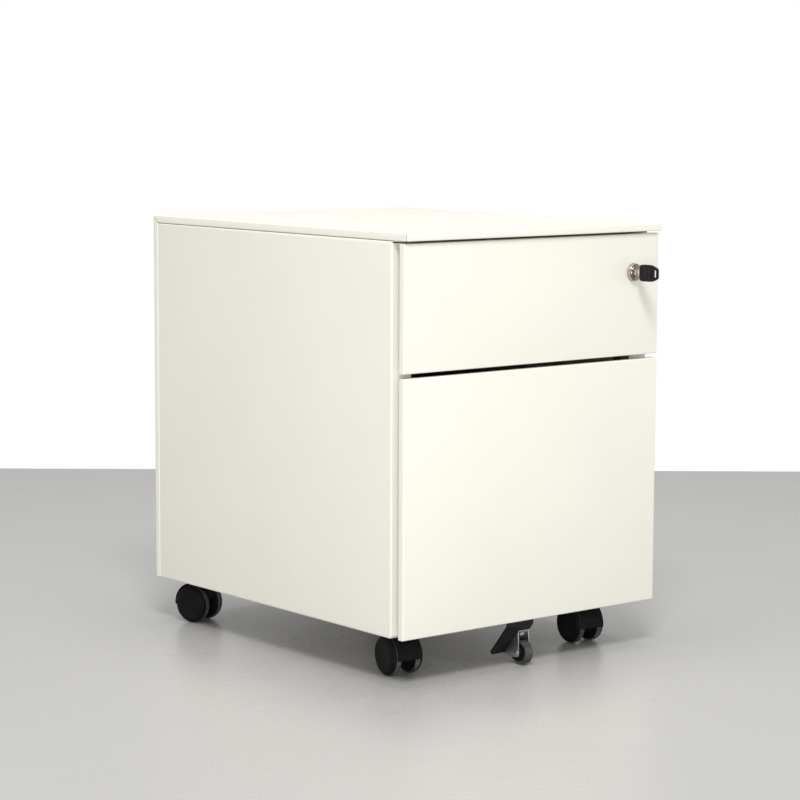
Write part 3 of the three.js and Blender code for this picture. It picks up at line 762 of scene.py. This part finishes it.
low, high = cad_mm("tip_wheel")
WHEEL_AT = ((low.x + high.x) / 2, (low.y + high.y) / 2, (low.z + high.z) / 2)
tread = [
    (11.6, -5.6), (14.4, -5.9), (14.85, -5.5), (15, -4.6), (15, 4.6), (14.85, 5.5), (14.4, 5.9), (11.6, 5.6)]
turned_piece("tip_wheel_tread", tread, "x", WHEEL_AT, 64, "anti_tip_wheel", "grey_tyre", ["tip_wheel"])
hub = [
    (2.3, -5.9), (4.2, -5.9), (4.8, -5.4), (5.2, -4.2),
    (10.4, -4.2), (10.9, -5.2), (11.5, -5.4), (11.7, -4.8)]
hub += [(r, -x) for r, x in reversed(hub)]
turned_piece("tip_wheel_hub", hub, "x", WHEEL_AT, 48, "anti_tip_wheel", "black_plastic")

axle = [(0, -10.6), (1.6, -10.6), (2.6, -10.4), (3.2, -10.0), (3.3, -9.6), (2, -9.5)]
axle += [(r, -x) for r, x in reversed(axle)]
turned_piece(
    "tip_wheel_axle_rivet", axle, "x", WHEEL_AT, 32, "lower_drawer", "zinc_steel", ["tip_wheel_axle"])
refined("tip_wheel_fork", "lower_drawer", "zinc_steel", 0.5)

strap_low, strap_high = cad_mm("tip_wheel_strap")
STRAP = 2.5  # its thickness
STRAP_BACK, STRAP_BEND, FOOT_CORNER = 54, 3.2, 5.5
SLOPE_TOP, SLOPE_FOOT = Vector((17.5, 53)), Vector((50.5, 12.7))


def strap():
    """The middle surface of a flat strap along a bent path, with the corners of its foot rounded off."""
    tab = strap_high.z - STRAP / 2
    corners = [(STRAP_BACK, tab), (SLOPE_TOP.x, tab), tuple(SLOPE_TOP), tuple(SLOPE_FOOT)]
    path = rounded(corners, [0, STRAP_BEND, STRAP_BEND, 0], 6, closed=False)
    foot = path.pop()
    run = (Vector(foot) - Vector(path[-1])).normalized()
    rows = [(point, 0.0) for point in path]
    for x, y in reversed(arc((0, 0), FOOT_CORNER, 0, 90, 6)):
        rows.append((tuple(Vector(foot) - run * (FOOT_CORNER - y)), FOOT_CORNER - x))
    rows.sort(key=lambda row: row[0][1], reverse=True)
    mesh = bmesh.new()
    previous = None
    for (y, z), inset in rows:
        pair = [mesh.verts.new(cab(x, y, z)) for x in (strap_low.x + inset, strap_high.x - inset)]
        if previous:
            mesh.faces.new([previous[0], previous[1], pair[1], pair[0]])
        previous = pair
    return mesh


piece("tip_wheel_strap_plate", strap(), "lower_drawer", "black_paint", ["tip_wheel_strap"], bevel=0.4,
      sheet=STRAP, offset=0.0)

# ---- Fasteners ----------------------------------------------------------------------------------------


def loose(x, y, z):
    """A point in millimetres as one in metres, about a mesh's own origin."""
    return Vector((x, y, z)) / 1000


def screw_mesh(name, radius, height):
    """A pan head with a cross recess, facing +z, as mesh data in metres."""
    dome = [(0, height)]
    for angle in [math.radians(degrees) for degrees in range(12, 91, 13)]:
        dome.append((radius * 0.94 * math.sin(angle), height * (0.1 + 0.9 * math.cos(angle)) ** 0.5))
    dome += [(radius, height * 0.15), (radius, 0), (0, 0)]
    mesh = turned(bmesh.new(), dome, "z", (0, 0, 0), 28, loose)
    bmesh.ops.remove_doubles(mesh, verts=mesh.verts, dist=1e-6)

    def solid(label, shape):
        bmesh.ops.recalc_face_normals(shape, faces=shape.faces)
        data = bpy.data.meshes.new(label)
        shape.to_mesh(data)
        shape.free()
        return linked(label, data)

    holder = solid(name, mesh)
    cutters = []
    arm, arm_half = radius * 0.58, radius * 0.12
    for a, b in ((arm, arm_half), (arm_half, arm)):
        cross = [(a * i, b * k) for i, k in square(1)]
        cutter = solid("cutter", extruded(bmesh.new(), cross, "z", height * 0.35, height * 2, loose))
        cutters.append(cutter)
        hole = holder.modifiers.new("recess", "BOOLEAN")
        hole.operation = "DIFFERENCE"
        hole.solver = "EXACT"
        hole.object = cutter
    bpy.context.view_layer.update()
    cut = bpy.data.meshes.new_from_object(holder.evaluated_get(bpy.context.evaluated_depsgraph_get()))
    for extra in (holder, *cutters):
        bpy.data.objects.remove(extra)
    cut.name = name
    cut.shade_smooth()
    cut.set_sharp_from_angle(angle=math.radians(32))
    return cut


SCREW_HEAD = screw_mesh("screw_head_0", 3.4, 1.9)
SCREW_HEAD.materials.append(FINISH["zinc_steel"])


def screw(name, body, at, facing, spin):
    """A screw head whose flat underside lies at the cabinet point at, facing that way, and turned by spin."""
    thing = linked(name, SCREW_HEAD)
    turn = Vector(facing).to_track_quat("Z", "Y").to_matrix().to_4x4()
    turn @= Matrix.Rotation(math.radians(spin), 4, "Z")
    thing.matrix_world = Matrix.Translation(cab(*at)) @ turn
    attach(thing, body)


# The rivet that holds the fork stands on the strap's slope.
along = SLOPE_FOOT - SLOPE_TOP
forwards = Vector((0, along.y, -along.x)).normalized()
rivet_at = SLOPE_TOP + along * 0.34
rivet_base = Vector((0, *rivet_at)) + forwards * 3.1


def on_web(x, y, z):
    side = forwards.cross(Vector(X))
    point = rivet_base + Vector(X) * x + side * y + forwards * z
    return cab(*point)


dome = [(0, 1.7), (1.5, 1.6), (2.9, 1.2), (3.8, 0.6), (4.2, 0.0), (4.2, -0.4), (0, -0.4)]
turned_piece("tip_wheel_fork_rivet", dome, "z", (0, 0, 0), 32, "lower_drawer", "zinc_steel", place=on_web)

# ---- Casters ------------------------------------------------------------------------------------------

TRAIL, AXLE_Z = 18.0, 25.0
AXLE_AT = (0, -TRAIL, AXLE_Z)
FENDER_START, FENDER_STOP, FENDER_STEPS = -6, 130, 36  # its arc in degrees about the axle, 0 forwards, 90 up
FENDER_SECTION = rounded(
    [(-17.5, 26.2), (17.5, 26.2), (17.5, 28.2), (9, 28.6), (-9, 28.6), (-17.5, 28.2)],
    [0.6, 0.6, 1.0, 0, 0, 1.0], 3)  # (x, radius) points
WEB_HALF = 8.4
AXLE_BOSS = [(3.3, -9.3), (7.4, -9.3), (8, -8.7), (8, 8.7), (7.4, 9.3), (3.3, 9.3)]
SWIVEL_BOSS = [
    (4.3, 35), (6.0, 35), (6.4, 35.6), (6.4, 51.5), (7.6, 52.5),
    (11.2, 52.9), (12, 53.9), (12, 58.3), (11.6, 58.8), (4.3, 58.8)]
WHEEL_DISC = [
    (0, 21.5), (6, 21.55), (11, 21.85), (14, 22.2), (15.6, 22.4), (17, 22.46), (18.6, 22.38), (20.2, 22.05),
    (21.6, 21.45), (22.8, 20.6), (23.7, 19.6), (24.25, 18.6), (24.5, 17.7), (24.5, 17.3), (24, 17),
    (23.6, 16.6), (23.6, 11.2), (22.6, 10.6), (10, 10.6), (9, 10.3), (3.3, 10.3), (3.3, 18.9), (0, 18.9)]
WHEEL_BAND = [
    (23.5, 11), (24.4, 10.3), (24.85, 10.8), (25, 11.8), (25, 15.6), (24.9, 16.5), (24.6, 17.1), (23.5, 16.7)]
PLATE_HALF, PLATE_SHEET, PLATE_SCREW = 25, 2, 19


def caster_arc(radius, start, stop, steps):
    """Points about the axle in the caster's (y, z) plane. 0 degrees points forwards and 90 up."""
    return [(-TRAIL - y, z) for y, z in arc((0, AXLE_Z), radius, start, stop, steps)]


def caster_hood(place):
    """A fender over the treads, a web between the wheels, the axle boss and the swivel boss."""
    mesh = bmesh.new()
    rings = []
    for k in range(FENDER_STEPS + 1):
        angle = math.radians(FENDER_START + (FENDER_STOP - FENDER_START) * k / FENDER_STEPS)
        rings.append([
            mesh.verts.new(place(x, -TRAIL - r * math.cos(angle), AXLE_Z + r * math.sin(angle)))
            for x, r in FENDER_SECTION])
    for first, second in zip(rings, rings[1:]):
        for i in range(len(FENDER_SECTION)):
            j = (i + 1) % len(FENDER_SECTION)
            mesh.faces.new([first[i], first[j], second[j], second[i]])
    mesh.faces.new(rings[0])
    mesh.faces.new(rings[-1][::-1])
    web = caster_arc(27.5, 0, 110, 20) + [(4, 45), (4, 34)] + caster_arc(8, 130, 0, 6)
    plate(mesh, [web], "x", -WEB_HALF, WEB_HALF, 0.8, place)
    turned(mesh, AXLE_BOSS, "x", AXLE_AT, 32, place)
    turned(mesh, SWIVEL_BOSS, "z", (0, 0, 0), 48, place)
    return mesh


def caster(name, swivel, wheel_joints):
    """A twin-wheel caster: its hood and wheels as its swivel stands at rest, and its plate and screws."""
    centre = Vector(swivel["pos_m"]) - Vector((0, FRONT_EDGE, 0))
    centre_x, centre_y = centre.x * 1000, centre.y * 1000
    axis = Vector(wheel_joints["right"]["axis"])
    turn = Matrix.Rotation(math.atan2(axis.y, axis.x), 3, "Z")

    def place(x, y, z):
        point = turn @ Vector((x, y, 0))
        return cab(point.x + centre_x, point.y + centre_y, z)

    def straight(x, y, z):
        return cab(x + centre_x, y + centre_y, z)

    hood = caster_hood(place)
    piece(f"{name}_hood_shell", hood, f"{name}_swivel", "black_plastic", [f"{name}_hood"], bevel=0.25)
    axle_materials = frame["nodes"][f"{name}_axle"].data.materials
    axle_materials.clear()
    axle_materials.append(FINISH["zinc_steel"])

    for side in ("left", "right"):
        outwards = 1 if side == "right" else -1
        if name.startswith("caster_back"):
            outwards = -outwards
        node, body = f"{name}_wheel_{side}", f"{name}_{side}_wheel"
        disc = [(r, outwards * x) for r, x in WHEEL_DISC]
        band = [(r, outwards * x) for r, x in WHEEL_BAND]
        turned_piece(f"{node}_disc", disc, "x", AXLE_AT, 80, body, "black_plastic", [node], place=place)
        turned_piece(f"{node}_tread", band, "x", AXLE_AT, 80, body, "grey_tyre", [node], CASTER_TREAD, place)

    low, high = cad_mm(f"{name}_plate")
    top, under = high.z, high.z - PLATE_SHEET
    mesh = plate(bmesh.new(), [rounded(square(PLATE_HALF), 4, 5)], "z", under, top, 0.3, straight)
    stem = [(0, low.z), (3.4, low.z), (4, low.z + 0.6), (4, top - 1.8), (0, top - 1.8)]
    turned(mesh, stem, "z", (0, 0, 0), 28, straight)
    piece(f"{name}_plate_flange", mesh, "carcass", "zinc_steel", [f"{name}_plate"])
    for i, (x, y) in enumerate(square(PLATE_SCREW)):
        at = (centre_x + x, centre_y + y, under)
        screw(f"{name}_screw_{i + 1}", "carcass", at, (0, 0, -1), 23 * i + 10)


for name in ("caster_front_left", "caster_front_right", "caster_back_left", "caster_back_right"):
    wheel_joints = {side: joints[f"{name}_{side}_wheel_spin"] for side in ("left", "right")}
    caster(name, joints[f"{name}_swivel"], wheel_joints)

# ---- Camera, light and floor --------------------------------------------------------------------------

scene = bpy.context.scene
camera_data = bpy.data.cameras.new("camera")
camera_data.lens = 113.565
camera_data.sensor_width = 36
camera_data.sensor_fit = "HORIZONTAL"
camera_data.shift_y = -0.003
camera = linked("camera", camera_data)
yaw, pitch, roll = (math.radians(a) for a in (38.96, 6.927, 0.224))
ahead = Vector((math.sin(yaw) * math.cos(pitch), math.cos(yaw) * math.cos(pitch), -math.sin(pitch)))
level = Vector((math.cos(yaw), -math.sin(yaw), 0))
upright = level.cross(ahead)
right = level * math.cos(roll) + upright * math.sin(roll)
up = upright * math.cos(roll) - level * math.sin(roll)
basis = Matrix((right, up, -ahead)).transposed().to_4x4()
camera.matrix_world = Matrix.Translation((-2.0703, -2.5378, 0.7131)) @ basis
scene.camera = camera


def area_light(name, at, target, size, power, colour):
    """A round area light at a point, facing the target. size is its width in metres."""
    data = bpy.data.lights.new(name, "AREA")
    data.shape = "DISK"
    data.size = size
    data.energy = power
    data.color = colour
    thing = linked(name, data)
    thing.location = at
    thing.rotation_euler = (Vector(target) - Vector(at)).to_track_quat("-Z", "Y").to_euler()


centre = (Vector(cad_box[0]) + Vector(cad_box[1])) / 2
key_way = Vector((-27, -35, 50)).normalized()
area_light("key_light", centre + key_way * 5, centre, 1.4, 155, (1.0, 0.99, 0.97))
left, front = cad_box[0][0], cad_box[0][1]
area_light("front_fill", (0.9, -2.3, 0.12), (0.1, front, 0.1), 1.2, 6, (1.0, 1.0, 1.0))
area_light("corner_fill", (-2.1, -2.0, 0.3), (left, front, 0.2), 1.4, 23, (1.0, 0.985, 0.965))
area_light("top_light", (0.0, 0.0, 3.5), (0.0, 0.0, 0.5), 2.0, 38, (1.0, 1.0, 1.0))

world = bpy.data.worlds.new("studio")
scene.world = world
world.use_nodes = True
backdrop = world.node_tree.nodes["Background"]
backdrop.inputs["Color"].default_value = (1.0, 1.0, 1.0, 1)
sight = world.node_tree.nodes.new("ShaderNodeLightPath")
level_range = world.node_tree.nodes.new("ShaderNodeMapRange")
level_range.inputs["To Min"].default_value = 0.58
level_range.inputs["To Max"].default_value = 1.0
world.node_tree.links.new(sight.outputs["Is Camera Ray"], level_range.inputs["Value"])
world.node_tree.links.new(level_range.outputs["Result"], backdrop.inputs["Strength"])
scene.view_settings.view_transform = "Standard"

FLOOR_HALF = 1.457
floor_mesh = bmesh.new()
floor_mesh.faces.new([floor_mesh.verts.new((x, y, 0)) for x, y in square(FLOOR_HALF)])
floor_data = bpy.data.meshes.new("studio_floor")
floor_mesh.to_mesh(floor_data)
floor_mesh.free()
paint = Nodes("studio_floor_paint")
shade = paint.noise(1.2, 3.0, 0.5)
paint.colour(paint.mix(paint.spread(shade, 0.3, 0.7, 0.0, 1.0), (0.425, 0.422, 0.413), (0.45, 0.447, 0.438)))
paint.roughness(paint.spread(paint.noise(9.0, 4.0, 0.6), 0.3, 0.7, 0.25, 0.32))
paint.bump(paint.noise(160.0, 3.0, 0.5), 0.02, 0.0002)
floor_data.materials.append(paint.material)
floor = linked("studio_floor", floor_data)
floor.rotation_euler.z = -yaw
